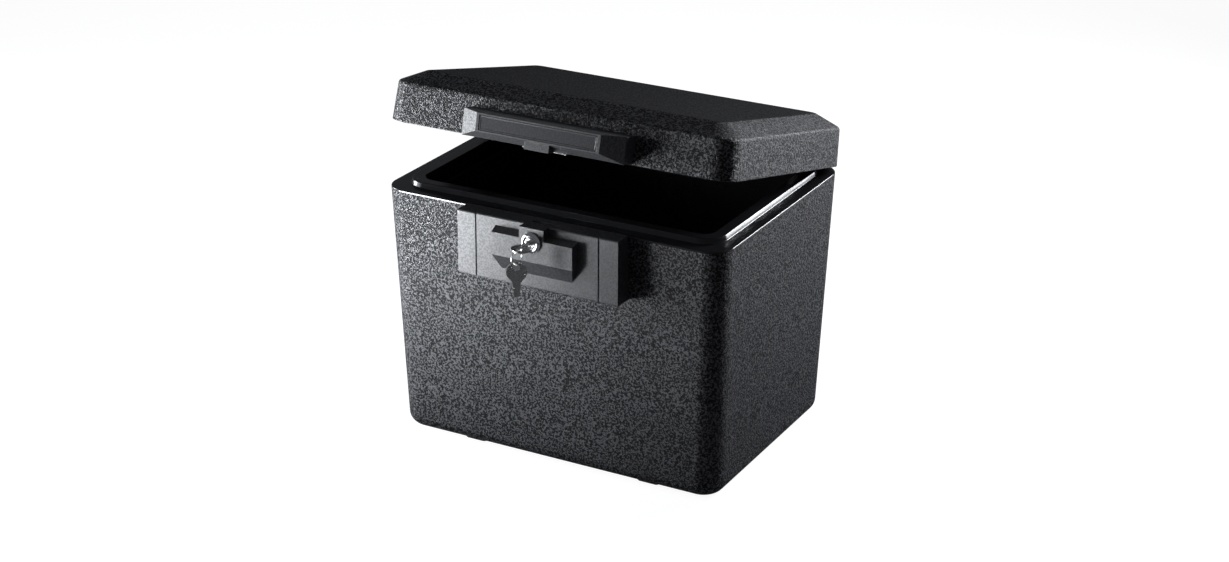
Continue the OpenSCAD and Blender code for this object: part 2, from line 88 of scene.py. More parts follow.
# ---------------------------------------------------------------- materials
def rgba(colour):
    return (*colour, 1.0) if isinstance(colour, tuple) else colour


def shade(colour, factor):
    return tuple(c * factor for c in colour)


class Material:
    """Node helpers round one Principled shader. Coordinates are the object's, in metres."""

    def __init__(self, name):
        self.data = bpy.data.materials.new(name)
        self.data.use_nodes = True
        self.tree = self.data.node_tree
        self.tree.nodes.clear()
        self.output = self.node("OutputMaterial", {})
        self.shader = self.node("BsdfPrincipled", {})
        self.put(self.output.inputs[0], self.shader.outputs[0])
        self.coords = self.node("TexCoord", {})
        self.position = self.coords.outputs["Object"]

    def put(self, socket, value):
        """Links a socket to the input, or sets the input's value."""
        if isinstance(value, bpy.types.NodeSocket):
            self.tree.links.new(value, socket)
        else:
            socket.default_value = value

    def node(self, kind, inputs, **settings):
        new = self.tree.nodes.new("ShaderNode" + kind)
        for key, value in settings.items():
            setattr(new, key, value)
        for key, value in inputs.items():
            self.put(new.inputs[key], value)
        return new

    def surface(self, **values):
        for key, value in values.items():
            self.put(self.shader.inputs[key.replace("_", " ")], value)

    def stretch(self, scale):
        return self.node("Mapping", {"Scale": scale, "Vector": self.position}).outputs[0]

    def noise(self, scale, detail=2.0, roughness=0.5, distortion=0.0, vector=None):
        inputs = {
            "Scale": scale, "Detail": detail, "Roughness": roughness,
            "Distortion": distortion, "Vector": vector or self.position,
        }
        return self.node("TexNoise", inputs).outputs[0]

    def cells(self, scale):
        inputs = {"Scale": scale, "Vector": self.position}
        return self.node("TexVoronoi", inputs, feature="F1").outputs["Distance"]

    def fit(self, value, span=(0.3, 0.7), to=(0.0, 1.0)):
        """Smooth remap. The default span is where most of a noise lies."""
        inputs = {
            "From Min": span[0], "From Max": span[1],
            "To Min": to[0], "To Max": to[1], "Value": value,
        }
        return self.node("MapRange", inputs, interpolation_type="SMOOTHSTEP").outputs[0]

    def add(self, a, b):
        return self.node("Math", {0: a, 1: b}, operation="ADD").outputs[0]

    def times(self, a, b):
        return self.node("Math", {0: a, 1: b}, operation="MULTIPLY").outputs[0]

    def mix(self, factor, low, high):
        inputs = {0: factor, 6: rgba(low), 7: rgba(high)}
        return self.node("Mix", inputs, data_type="RGBA").outputs[2]

    def facing(self, direction):
        """Cosine between the surface and a direction, in the object's own axes."""
        inputs = {0: self.coords.outputs["Normal"], 1: direction}
        return self.node("VectorMath", inputs, operation="DOT_PRODUCT").outputs["Value"]

    def bump(self, height, distance, strength=1.0, under=None):
        inputs = {"Distance": distance, "Strength": strength, "Height": height}
        if under is not None:
            inputs["Normal"] = under
        return self.node("Bump", inputs).outputs[0]


def textured_plastic():
    """Pebble grain: uneven small lumps, their peaks painted paler as glint highlights, with dark
    pits between.
    """
    mat = Material("textured_plastic")
    lumps = mat.noise(scale=460, detail=1.5, distortion=0.4)
    ridges = mat.noise(scale=860, roughness=0.6)
    height = mat.add(
        mat.times(mat.fit(lumps, span=(0.35, 0.65)), 0.55),
        mat.times(mat.fit(ridges, span=(0.35, 0.65)), 0.45),
    )
    # the flat top of the open lid is nearly smooth
    facing_top = mat.facing(direction=(0, math.sin(LID_OPEN), math.cos(LID_OPEN)))
    grain = mat.fit(facing_top, span=(0.93, 0.985), to=(1.0, 0.22))
    # peak_and_painted_glint: the peaks' paler colour is a painted glint highlight; their raised
    # specular level is real
    peak_and_painted_glint = mat.times(mat.fit(height, span=(0.45, 0.70)), grain)
    mat.surface(
        # the high colour is a painted glint on the peaks; the low colour is the black plastic
        # itself
        Base_Color=mat.mix(peak_and_painted_glint, low=(0.0012, 0.0012, 0.0018), high=(0.064, 0.065, 0.073)),
        Roughness=mat.add(
            mat.fit(height, span=(0.2, 0.9), to=(0.52, 0.30)),
            mat.fit(grain, span=(0.22, 1.0), to=(0.2, 0.0)),
        ),
        Specular_IOR_Level=mat.fit(peak_and_painted_glint, span=(0.0, 1.0), to=(0.18, 0.65)),
        Normal=mat.bump(height, distance=0.0005, strength=grain),
    )
    return mat.data


def smooth_plastic():
    """Glossy black with a slow waviness under a very fine grain."""
    mat = Material("smooth_plastic")
    wave = mat.noise(scale=28, detail=1.0, roughness=0.4)
    fine = mat.noise(scale=900)
    tint = mat.noise(scale=60)
    mat.surface(
        Base_Color=mat.mix(tint, low=(0.012, 0.012, 0.0135), high=(0.017, 0.017, 0.0195)),
        Roughness=mat.fit(mat.noise(scale=45, detail=3.0, roughness=0.6), to=(0.14, 0.22)),
        Specular_IOR_Level=0.5,
        Normal=mat.bump(
            fine, distance=0.00002, strength=0.6,
            under=mat.bump(wave, distance=0.0012, strength=0.5),
        ),
    )
    return mat.data


def grey_plastic(name, low, high, roughness, grain=0.00006):
    """Fine eroded grain, grain metres deep, with a slow drift of colour over it."""
    mat = Material(name)
    fine = mat.noise(scale=1300, detail=3.0, roughness=0.6)
    pits = mat.fit(mat.cells(scale=1700), span=(0.1, 0.7))
    speck = mat.add(
        mat.times(mat.fit(mat.noise(scale=560, detail=1.5), span=(0.40, 0.60)), 0.8),
        mat.times(mat.noise(scale=160, detail=3.0, roughness=0.6), 0.2),
    )
    mat.surface(
        Base_Color=mat.mix(speck, low=shade(low, 0.62), high=shade(high, 1.22)),
        Roughness=mat.add(
            mat.fit(mat.noise(scale=700), to=roughness),
            mat.fit(speck, span=(0.0, 1.0), to=(0.05, -0.03)),
        ),
        Specular_IOR_Level=0.5,
        Normal=mat.bump(mat.add(fine, mat.times(pits, 0.5)), distance=grain),
    )
    return mat.data


def metal(name, low, high, roughness, scale=500, stretch=(1, 1, 1), grain=0.00001, spots=None):
    """Metal with stretched noise as its finish and, if spots gives a scale, a cell pattern."""
    mat = Material(name)
    lines = mat.noise(scale=scale, detail=3.0, roughness=0.6, vector=mat.stretch(stretch))
    colour = mat.mix(mat.noise(scale=220, detail=3.0, roughness=0.6), low, high)
    if spots:
        cells = mat.fit(mat.cells(scale=spots), span=(0.2, 0.6))
        colour = mat.mix(cells, low=colour, high=shade(high, 0.82))
    mat.surface(
        Base_Color=colour,
        Metallic=1.0,
        Roughness=mat.fit(lines, to=roughness),
        Normal=mat.bump(lines, distance=grain),
    )
    return mat.data


def foot_rubber():
    mat = Material("foot_rubber")
    tint = mat.noise(scale=300, detail=3.0)
    mat.surface(
        Base_Color=mat.mix(tint, low=(0.012, 0.012, 0.012), high=(0.022, 0.022, 0.022)),
        Roughness=mat.fit(mat.noise(scale=900), to=(0.68, 0.85)),
        Normal=mat.bump(mat.noise(scale=1600, detail=3.0, roughness=0.6), distance=0.00008),
    )
    return mat.data


def insulation():
    mat = Material("insulation")
    pores = mat.fit(mat.cells(scale=700), span=(0.08, 0.35))
    tint = mat.noise(scale=90, detail=5.0, roughness=0.65)
    lumps = mat.noise(scale=260, detail=5.0, roughness=0.7)
    mat.surface(
        Base_Color=mat.mix(tint, low=(0.52, 0.50, 0.46), high=(0.66, 0.64, 0.6)),
        Roughness=mat.fit(mat.noise(scale=400, detail=3.0), to=(0.9, 0.98)),
        Normal=mat.bump(mat.add(pores, lumps), distance=0.0004),
    )
    return mat.data


GREY = {"low": (0.040, 0.040, 0.043), "high": (0.052, 0.052, 0.056)}
MATERIALS = {
    "textured_plastic": textured_plastic(),
    "smooth_plastic": smooth_plastic(),
    "grey_plastic": grey_plastic("grey_plastic", **GREY, roughness=(0.34, 0.44)),
    "handle_plastic": grey_plastic("handle_plastic", **GREY, roughness=(0.47, 0.57)),
    "label_plastic": grey_plastic(
        "label_plastic", low=(0.030, 0.030, 0.033), high=(0.040, 0.040, 0.044),
        roughness=(0.3, 0.38), grain=0.00003,
    ),
    "hinge_plastic": grey_plastic(
        "hinge_plastic", low=(0.010, 0.010, 0.011), high=(0.017, 0.017, 0.018),
        roughness=(0.38, 0.5), grain=0.0001,
    ),
    "plated_lock": metal(
        "plated_lock", low=(0.78, 0.78, 0.80), high=(0.86, 0.86, 0.87), roughness=(0.09, 0.16),
    ),
    "key_metal": metal(
        "key_metal", low=(0.50, 0.50, 0.485), high=(0.66, 0.66, 0.64), roughness=(0.2, 0.32),
        scale=900, stretch=(1, 0.12, 1), grain=0.000012,
    ),
    "zinc_steel": metal(
        "zinc_steel", low=(0.52, 0.53, 0.55), high=(0.66, 0.67, 0.69), roughness=(0.26, 0.42),
        scale=700, grain=0.00002, spots=260,
    ),
    "foot_rubber": foot_rubber(),
    "insulation": insulation(),
}


# ---------------------------------------------------------------- mesh helpers (all in mm)
def rounded_rect(z, half_x, half_y, radius, seg):
    points = []
    for quarter, (sx, sy) in enumerate(((1, 1), (-1, 1), (-1, -1), (1, -1))):
        for i in range(seg + 1):
            a = math.pi / 2 * (quarter + i / seg)
            x = sx * (half_x - radius) + radius * math.cos(a)
            y = sy * (half_y - radius) + radius * math.sin(a)
            points.append((x, y, z))
    return points


def soften(rows, cuts, steps=4):
    """Rounds a profile of (z, half x, half y, corner radius) cuts[i] mm either side of row i."""
    rows = [np.array(row, float) for row in rows]
    out = [rows[0]]
    for i in range(1, len(rows) - 1):
        here, before, after = rows[i], rows[i - 1], rows[i + 1]
        if i not in cuts:
            out.append(here)
            continue
        start, end = (
            here + (other - here) * min(cuts[i] / np.linalg.norm((other - here)[:2]), 0.48)
            for other in (before, after)
        )
        out += [
            (1 - u) ** 2 * start + 2 * u * (1 - u) * here + u * u * end
            for u in np.linspace(0, 1, steps + 1)
        ]
    out.append(rows[-1])
    return out


def skin(sections):
    """Closed solid through sections with equal point counts, flat at both ends."""
    bm = bmesh.new()
    rings = [[bm.verts.new(point) for point in section] for section in sections]
    n = len(rings[0])
    for a, b in zip(rings, rings[1:]):
        for i in range(n):
            bm.faces.new((a[i], a[(i + 1) % n], b[(i + 1) % n], b[i]))
    bm.faces.new(rings[0])
    bm.faces.new(rings[-1])
    bmesh.ops.recalc_face_normals(bm, faces=bm.faces)
    return bm


def loft(rows, seg=20):
    """Solid through rounded rectangles, with seg steps round each corner."""
    return skin([rounded_rect(*row, seg) for row in rows])


def moved(bm, matrix):
    bmesh.ops.transform(bm, matrix=matrix, verts=bm.verts)
    return bm


def box(x0, x1, y0, y1, z0, z1):
    bm = bmesh.new()
    bmesh.ops.create_cube(bm, size=1)
    centre = Matrix.Translation(((x0 + x1) / 2, (y0 + y1) / 2, (z0 + z1) / 2))
    return moved(bm, centre @ Matrix.Diagonal((x1 - x0, y1 - y0, z1 - z0, 1)))


def poly(points, faces):
    bm = bmesh.new()
    verts = [bm.verts.new(point) for point in points]
    for face in faces:
        bm.faces.new([verts[i] for i in face])
    bmesh.ops.recalc_face_normals(bm, faces=bm.faces)
    return bm


def extrude(outline, depth, place):
    """2-D outline pulled through depth: place turns (u, v, w) into a point."""
    n = len(outline)
    points = [place(u, v, w) for w in (0, depth) for u, v in outline]
    faces = [list(range(n)), list(range(2 * n - 1, n - 1, -1))]
    faces += [[i, (i + 1) % n, n + (i + 1) % n, n + i] for i in range(n)]
    return poly(points, faces)


def lathe(profile, place, seg=64, closed=False):
    """Profile of (radius, height) turned about an axis; closed joins its end to its start."""
    bm = bmesh.new()
    rows = []
    for r, h in profile:
        if r == 0:
            rows.append([bm.verts.new(place(0, 0, h))])
        else:
            angles = [2 * math.pi * i / seg for i in range(seg)]
            rows.append([bm.verts.new(place(r * math.cos(a), r * math.sin(a), h)) for a in angles])
    pairs = list(zip(rows, rows[1:]))
    if closed:
        pairs.append((rows[-1], rows[0]))
    for a, b in pairs:
        for i in range(seg):
            j = (i + 1) % seg
            if len(a) == 1:
                bm.faces.new((a[0], b[i], b[j]))
            elif len(b) == 1:
                bm.faces.new((a[i], a[j], b[0]))
            else:
                bm.faces.new((a[i], a[j], b[j], b[i]))
    bmesh.ops.recalc_face_normals(bm, faces=bm.faces)
    return bm


# axes for lathe() and rod(): height runs along the named direction
def along_x(cy, cz):
    return lambda x, y, h: (h, cy + x, cz + y)


def along_y(cx, cz):
    return lambda x, y, h: (cx + x, h, cz + y)


def upright(cx, cy):
    return lambda x, y, h: (cx + x, cy + y, h)


def rod(place, radius, h0, h1, seg=48):
    return lathe([(0, h0), (radius, h0), (radius, h1), (0, h1)], place, seg)


def merged(*parts):
    """Several separate solids kept as one mesh."""
    out = bmesh.new()
    for part in parts:
        scratch = bpy.data.meshes.new("tmp")
        part.to_mesh(scratch)
        part.free()
        out.from_mesh(scratch)
        bpy.data.meshes.remove(scratch)
    return out


def as_object(bm, name="tmp"):
    mesh = bpy.data.meshes.new(name)
    bm.to_mesh(mesh)
    bm.free()
    obj = bpy.data.objects.new(name, mesh)
    COLLECTION.objects.link(obj)
    return obj


ADD, CUT, KEEP_COMMON = "UNION", "DIFFERENCE", "INTERSECT"


def solid(base, *steps):
    """base with each (operation, tool) done in turn, then flat regions merged again."""
    obj = as_object(base)
    tools = []
    for operation, tool in steps:
        tools.append(as_object(tool))
        step = obj.modifiers.new("step", "BOOLEAN")
        step.operation = operation
        step.solver = "EXACT"
        step.object = tools[-1]
    graph = bpy.context.evaluated_depsgraph_get()
    result = bpy.data.meshes.new_from_object(obj.evaluated_get(graph))
    bm = bmesh.new()
    bm.from_mesh(result)
    for used in tools + [obj]:
        data = used.data
        bpy.data.objects.remove(used)
        bpy.data.meshes.remove(data)
    bpy.data.meshes.remove(result)
    bmesh.ops.remove_doubles(bm, verts=bm.verts, dist=0.001)
    flat = math.radians(0.4)
    bmesh.ops.dissolve_limit(bm, angle_limit=flat, verts=bm.verts, edges=bm.edges)
    return bm


def piece(name, bm, slot, body, node=None, bevel=0.0, seg=3, sharp=38, limit=30):
    """Finishes a mesh in mm: scale, swing if on the lid, material, edges, shading, CAD node.

    bevel is in mm and limit is its edge angle; without a bevel, edges over sharp stay hard.
    """
    moved(bm, Matrix.Diagonal((MM, MM, MM, 1)))
    if body == "lid":
        moved(bm, SWING)
    obj = as_object(bm, name)
    mesh = obj.data
    mesh.materials.append(MATERIALS[slot])
    for face in mesh.polygons:
        face.use_smooth = True
    if bevel:
        edges = obj.modifiers.new("edges", "BEVEL")
        edges.width = bevel * MM
        edges.segments = seg
        edges.limit_method = "ANGLE"
        edges.angle_limit = math.radians(limit)
        edges.use_clamp_overlap = True
        edges.miter_outer = "MITER_ARC"
    else:
        mesh.set_sharp_from_angle(angle=math.radians(sharp))
    shading = obj.modifiers.new("shading", "WEIGHTED_NORMAL")
    shading.keep_sharp = True
    shading.weight = 50
    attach(obj, body)
    if node:
        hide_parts(node)


# ---------------------------------------------------------------- body
HINGE_AXIS = along_x(HINGE_Y, HINGE_Z)


def hinge_spans(half):
    return [(x - half, x + half) for x in HINGES]


LOWER_KNUCKLES = [(x + t * 22.5 - 7.5, x + t * 22.5 + 7.5) for x in HINGES for t in (-1, 1)]
UPPER_KNUCKLES = hinge_spans(14.7)


def pockets(spans, radius, extra):
    """Cutting rods on the hinge axis, each longer than its span by extra at both ends."""
    return merged(*[rod(HINGE_AXIS, radius, a - extra, b + extra) for a, b in spans])


def body_shell():
    """Drafted tub, rounded round the bottom edge."""
    def row(z, inset, radius):
        return z, body_x(z, inset), body_y(z, inset), radius

    fillet = 14
    rows = []
    for i in range(13):
        a = math.pi / 2 * i / 12
        inset = fillet * (1 - math.sin(a))
        rows.append(row(BODY_BASE + fillet * (1 - math.cos(a)), inset, CORNER - inset))
    # top edge, then down the inside: height, inset, corner radius
    inside = [
        (275, 0, CORNER), (275, WALL, CORNER - WALL), (18, WALL, CORNER - WALL),
        (11, 7, 17), (7, 13, 12),
    ]
    rows += soften([rows[-1]] + [row(*entry) for entry in inside], {1: 0.45}, 3)[1:]
    return solid(loft(rows), (CUT, pockets(UPPER_KNUCKLES, 4.5, 0.6)))


piece("body_shell_textured", body_shell(), "textured_plastic", "base", "body_shell", sharp=40)


def body_liner():
    """Inner tub with a raised lip and a rim that reaches out over the shell's edge."""
    # z, half x, half y, corner radius
    rows = [
        (35, 145, 93, 10), (36.6, 148.4, 96.4, 12), (40, 150, 98, 14),
        (262, 154, 110, 14), (262, 165, 112, 13.5),
        (282.5, 166, 113, 13.5), (282.5, 178.9, 124.9, 22.5),
        (RIM, 180.3, 126.3, 23.9), (RIM, 194.4, 141.9, 24), (275, 194.4, 141.9, 24),
        (275, 168.5, 115.5, 16), (259.5, 167.5, 114.5, 16), (259.5, 156.4, 112.4, 16),
        (37.5, 152.5, 100.5, 16), (32.5, 147.5, 95.5, 12),
    ]
    cuts = {1: 1.2, 2: 1.6, 3: 0.8, 4: 0.8, 5: 1.1, 6: 1.5, 7: 0.7, 8: 1.0}
    return solid(
        loft(soften(rows, cuts, 5)),
        (CUT, pockets(UPPER_KNUCKLES, 4.5, 0.6)),
        (CUT, pockets(hinge_spans(31.4), 4.1, 0.6)),
    )


piece("body_liner_moulding", body_liner(), "smooth_plastic", "base", "body_liner", sharp=40)
rails = merged(*[box(x - 1.5, x + 1.5, -98, 98, 260.5, 270) for x in (-155.5, 155.5)])
piece("body_file_rails", rails, "smooth_plastic", "base", bevel=0.6)


def feet():
    """Four rounded pads, each with a peg into the body."""
    # z, half x, half y, corner radius
    rows = [
        (0, 10, 5, 2), (0, 12.3, 6.9, 3.6), (0.8, 12.9, 7.4, 4),
        (3.98, 13, 7.4, 4), (3.98, 4, 4, 3.9),
    ]
    rows = soften(rows, {1: 0.4, 3: 0.3})
    parts = []
    for x in (-103, 103):
        for y in (-110.5, 110.5):
            parts.append(moved(loft(rows, 8), Matrix.Translation((x, y, 0))))
            parts.append(rod(upright(x, y), 3, 3.9, 6.5, 24))
    return merged(*parts)


piece("rubber_feet", feet(), "foot_rubber", "base", "feet", sharp=50)


# ---------------------------------------------------------------- lock housing
LOCK_AXIS = along_y(0, LOCK_Z)


def housing():
    """Hollow plate across the front, with a tapered pod round the lock."""
    half, front, back = 91.5, -162, HOUSING_BACK_FACE
    # y, z
    outline = [
        (front, 211), (back, 210), (-body_y(210) - SEAT_GAP, 210),
        (-body_y(278) - SEAT_GAP, 278), (back, 278), (front, 277),
    ]
    plate = extrude(outline, 2 * half, lambda y, z, w: (w - half, y, z))
    pod = poly(
        [(-46, POD_FRONT, 242), (46, POD_FRONT, 242), (46, POD_FRONT, 266),
         (-46, POD_FRONT, 266), (-40, back, 223.3), (40, back, 223.3), (47.2, back, 242),
         (47.2, back, 269.6), (-47.2, back, 269.6), (-47.2, back, 242)],
        [(3, 2, 1, 0), (0, 1, 5, 4), (1, 6, 5), (1, 2, 7, 6),
         (2, 3, 8, 7), (3, 0, 9, 8), (0, 4, 9), (4, 5, 6, 7, 8, 9)],
    )
    # grooves near the ends of the front face
    grooves = [(CUT, box(x - 0.8, x + 0.8, -163, -160.8, 205, 285)) for x in (-70, 70)]
    return solid(
        plate,
        (ADD, pod),
        (ADD, box(-14, 14, POD_FRONT, -160, 250, 278)),
        # hollows behind the plate, the pod and its centre block
        (CUT, box(-89, 89, -159.5, -120, 212.5, 275.5)),
        (CUT, box(-43, 43, -169.4, -149.4, 244.5, 263.5)),
        (CUT, box(-12, 12, -169, -149, 249, 275.5)),
        # holes for the lock barrel and, in the top, the cam
        (CUT, rod(LOCK_AXIS, 8.1, -173, -168, 64)),
        (CUT, box(-9, 19.6, CAM_Y - 2, CAM_Y + 2, 273, 280)),
        *grooves,
    )


piece(
    "lock_housing_moulding", housing(), "grey_plastic", "base", "lock_housing", bevel=0.55,
)


def boss(x, z, radius, front, back, hole_end):
    """Post along Y with a blind hole from its back."""
    hole = 1.95
    profile = [
        (0, hole_end), (hole, hole_end), (hole, back), (radius, back), (radius, front), (0, front),
    ]
    return lathe(profile, along_y(x, z), 32)


bosses = [
    boss(x, z, 4.5, HOUSING_BACK_FACE, -body_y(z) - 0.06, HOUSING_BACK_FACE + 5)
    for x in (-FIXING_X, FIXING_X)
    for z in (225, 265)
]
piece("lock_housing_bosses", merged(*bosses), "grey_plastic", "base", sharp=50)


# ---------------------------------------------------------------- screws
HALF_TURN = Matrix.Rotation(math.pi, 4, "Z")
SCREW_HEAD = 4
LEAF_SCREWS_X = (-20, 20)  # from the middle of a hinge leaf
LOWER_SCREWS_Z, UPPER_SCREWS_Z = -18, 17  # from the leaf frames' origins
# x, z, front end of the boss
HANDLE_POSTS = [(-78, 293, -159.5), (78, 293, -159.5), (-38, 296, -169.5), (38, 296, -169.5)]


def screw(place, length, shank, head=SCREW_HEAD):
    """Domed cross-recess screw, its ridged shank pointing along the place's -Y."""
    profile = [(0, -2.0)]
    profile += [
        (head * math.sin(a) * 0.98, -2.0 + (1 - math.cos(a)) * 0.9)
        for a in np.linspace(0.15, 1.15, 6)
    ]
    profile += [(head, -0.95), (head, -0.12), (head - 0.12, 0), (shank + 0.05, 0)]
    y = 0.4
    while y < length - 2.4:
        profile += [(shank, y), (shank - 0.32, y + 0.35)]
        y += 0.9
    profile += [(shank - 0.35, length - 2), (0, length)]
    bm = solid(
        lathe(profile, along_y(0, 0), 28),
        (CUT, box(-0.42, 0.42, -3, -0.95, -2.1, 2.1)),
        (CUT, box(-2.1, 2.1, -3, -0.95, -0.42, 0.42)),
    )
    return moved(bm, place @ HALF_TURN)


# frames on the rear walls at x: origin on the shell's edge, tilted with the draft
def lower_leaf_frame(x):
    tilt = Matrix.Rotation(-math.atan(BODY_DRAFT_Y / BODY_HEIGHT), 4, "X")
    return Matrix.Translation((x, BODY_Y, RIM)) @ tilt


def upper_leaf_frame(x):
    tilt = Matrix.Rotation(math.atan(LID_DRAFT / LID_SIDE), 4, "X")
    return Matrix.Translation((x, LID_Y, LID_BASE)) @ tilt


def leaf_screws(leaf_frame, z, length):
    return [
        screw(leaf_frame(hinge) @ Matrix.Translation((x, 2.6, z)), length, 2)
        for hinge in HINGES
        for x in LEAF_SCREWS_X
    ]


def screw_set(name, screws, body, node):
    piece(name, merged(*screws), "zinc_steel", body, node, sharp=45)


housing_screws = [
    screw(Matrix.Translation((x, -body_y(z, WALL) + 0.25, z)), 16, 1.9)
    for x in (-FIXING_X, FIXING_X)
    for z in (225, 264)
]
screw_set("housing_fixing_screws", housing_screws, "base", "housing_screws")
lower_screws = leaf_screws(lower_leaf_frame, LOWER_SCREWS_Z, 16)
screw_set("hinge_body_screws", lower_screws, "base", "hinge_screws_body")
upper_screws = leaf_screws(upper_leaf_frame, UPPER_SCREWS_Z, 14)
screw_set("hinge_lid_screws", upper_screws, "lid", "hinge_screws_lid")
handle_screws = [
    screw(Matrix.Translation((x, -lid_y(z) + 3.35, z)), 13.5, 1.9) for x, z, _ in HANDLE_POSTS
]
screw_set("handle_fixing_screws", handle_screws, "lid", "handle_screws")


# ---------------------------------------------------------------- hinges
def leaf(free, fixed):
    """Flat leaf between two heights, its corners rounded at the free end."""
    half, radius, steps = 30, 4.0, 6
    side = 1 if free < fixed else -1
    outline = []
    for centre, start in ((-half + radius, math.pi), (half - radius, 1.5 * math.pi)):
        for i in range(steps + 1):
            a = start + math.pi / 2 * i / steps
            z = free + side * (radius + radius * math.sin(a))
            outline.append((centre + radius * math.cos(a), z))
    outline += [(half, fixed), (-half, fixed)]
    return extrude(outline, 2.5, lambda u, v, w: (u, 0.06 + w, v))


def hinge_half(ends, leaf_frame, knuckles, other_knuckles, pin_hole, screws_z):
    """Both leaves of one shell, with knuckles, gaps for the others, and pin and screw holes."""
    left, right = (moved(leaf(*ends), leaf_frame(x)) for x in HINGES)
    steps = [(ADD, right)]
    steps += [(ADD, rod(HINGE_AXIS, 4, a, b)) for a, b in knuckles]
    steps += [(CUT, rod(HINGE_AXIS, 4.4, a - 0.4, b + 0.4)) for a, b in other_knuckles]
    steps += [(CUT, rod(HINGE_AXIS, pin_hole, a, b, 32)) for a, b in hinge_spans(31)]
    steps += [
        (CUT, moved(rod(along_y(x, screws_z), 2.15, -1, 4, 24), leaf_frame(hinge)))
        for hinge in HINGES
        for x in LEAF_SCREWS_X
    ]
    return solid(left, *steps)


lower = hinge_half(
    (-28, -1.4), lower_leaf_frame, LOWER_KNUCKLES, UPPER_KNUCKLES, 2.03, LOWER_SCREWS_Z
)
upper = hinge_half(
    (27.2, 0.2), upper_leaf_frame, UPPER_KNUCKLES, LOWER_KNUCKLES, 2.05, UPPER_SCREWS_Z
)
LEAF_EDGES = {"bevel": 0.3, "seg": 2, "limit": 40}
piece("hinge_leaves_lower", lower, "hinge_plastic", "base", "hinge_leaves_body", **LEAF_EDGES)
piece("hinge_leaves_upper", upper, "hinge_plastic", "lid", "hinge_leaves_lid", **LEAF_EDGES)


def hinge_pin(x):
    """Rod with a domed head at each end."""
    # radius, distance from the middle
    end = [(0, PIN_HALF), (1.8, PIN_HALF), (2.7, 31.25), (3, 30.8), (3, 30.35), (2, 30.3)]
    profile = [(r, x - h) for r, h in end] + [(r, x + h) for r, h in reversed(end)]
    return lathe(profile, HINGE_AXIS, 32)


pins = merged(*[hinge_pin(x) for x in HINGES])
piece("hinge_pin_rods", pins, "zinc_steel", "base", "hinge_pins", sharp=50)


# ---------------------------------------------------------------- lock
def pod_lathe(profile, seg=72, closed=False):
    """Turned about the lock axis; heights run forwards from the pod's front."""
    return lathe([(r, POD_FRONT - h) for r, h in profile], LOCK_AXIS, seg, closed)


def lock_barrel():
    """Ridged sleeve with a stepped, rounded flange."""
    # radius, height
    profile = [(6.05, -17.9), (8, -17.9)]
    for i in range(14):
        profile += [(8, -17.6 + i * 1.2), (7.75, -17.2 + i * 1.2)]
    profile += [
        (8, -0.4), (8, 0), (10.85, 0), (11, 0.15), (11, 1.15), (10.9, 1.5), (10.55, 2.2),
        (10.3, 2.45), (10.15, 2.35), (9.95, 2.55), (9.55, 3.15), (9.0, 3.6), (8.4, 3.85),
        (7.95, 3.85), (7.55, 3.65), (7.25, 3.25), (6.95, 2.75), (6.6, 2.4), (6.2, 2.25),
        (6.05, 2.2),
    ]
    return pod_lathe(profile, closed=True)


piece("lock_barrel_flange", lock_barrel(), "plated_lock", "base", "lock_barrel", sharp=42)

# radius, y
NUT = [(0, -169), (10.6, -169), (11.5, -168.5), (11.5, -165.5), (10.6, -165), (0, -165)]
nut = solid(lathe(NUT, LOCK_AXIS, 6), (CUT, rod(LOCK_AXIS, 8.05, -170, -164)))
piece("lock_nut_hex", nut, "zinc_steel", "base", "lock_nut", bevel=0.15, seg=2)


def lock_plug():
    """Turning core: domed face, keyway, and a rear tail with two flats."""
    face = [(0, 2.35), (4.9, 2.6), (5.35, 2.55), (5.75, 2.3), (6, 1.9), (6, -17.9), (0, -17.9)]
    tail = solid(
        rod(LOCK_AXIS, 4, -155.0, CAM_BACK, 64),
        (KEEP_COMMON, box(-2.75, 2.75, -156, -150, 255, 270)),
    )
    return solid(
        pod_lathe(face, 64),
        (ADD, tail),
        (CUT, box(-4, 4, -176, -163, LOCK_Z - 1.15, LOCK_Z + 1.15)),
        (CUT, box(-0.7, 0.7, -176, -168, LOCK_Z - 1.75, LOCK_Z + 1.0)),
        (CUT, rod(LOCK_AXIS, 1.65, -159, -150, 24)),
    )


piece("lock_plug_turning", lock_plug(), "plated_lock", "plug", "lock_plug", sharp=35)


def arc(radius, start, end, count):
    angles = [math.radians(a) for a in np.linspace(start, end, count)]
    return [(radius * math.cos(a), radius * math.sin(a)) for a in angles]


def cam():
    """Disc and arm with a curved hook rising from the arm's end."""
    def place(u, v, w):
        return u, CAM_BACK - w, LOCK_Z + v

    hook = extrude(arc(20, -8, 30, 14) + arc(23, 30, -8, 14), 2, place)
    arm = extrude([(0, -3), (21.5, -3), (21.5, 3), (0, 3)], 2, place)
    hole = solid(
        rod(LOCK_AXIS, 4.05, -156, -150, 32),
        (KEEP_COMMON, box(-2.8, 2.8, -157, -149, 255, 270)),
    )
    disc = rod(LOCK_AXIS, 7, CAM_Y - 1, CAM_BACK)
    return solid(disc, (ADD, arm), (ADD, hook), (CUT, hole))


piece("lock_cam_hook", cam(), "zinc_steel", "plug", "lock_cam", bevel=0.2, seg=2)
cam_screw = screw(Matrix.Translation((0, CAM_BACK + 0.02, LOCK_Z)), 6.5, 1.6, head=3.8)
piece("cam_fixing_screw", cam_screw, "zinc_steel", "plug", "cam_screw", sharp=45)


# ---------------------------------------------------------------- keys and ring
KEY_THICK = 1.8
BOW_HOLE_Y = -5.2
RING_CENTRE = Vector((0, -200.45, 257.25))


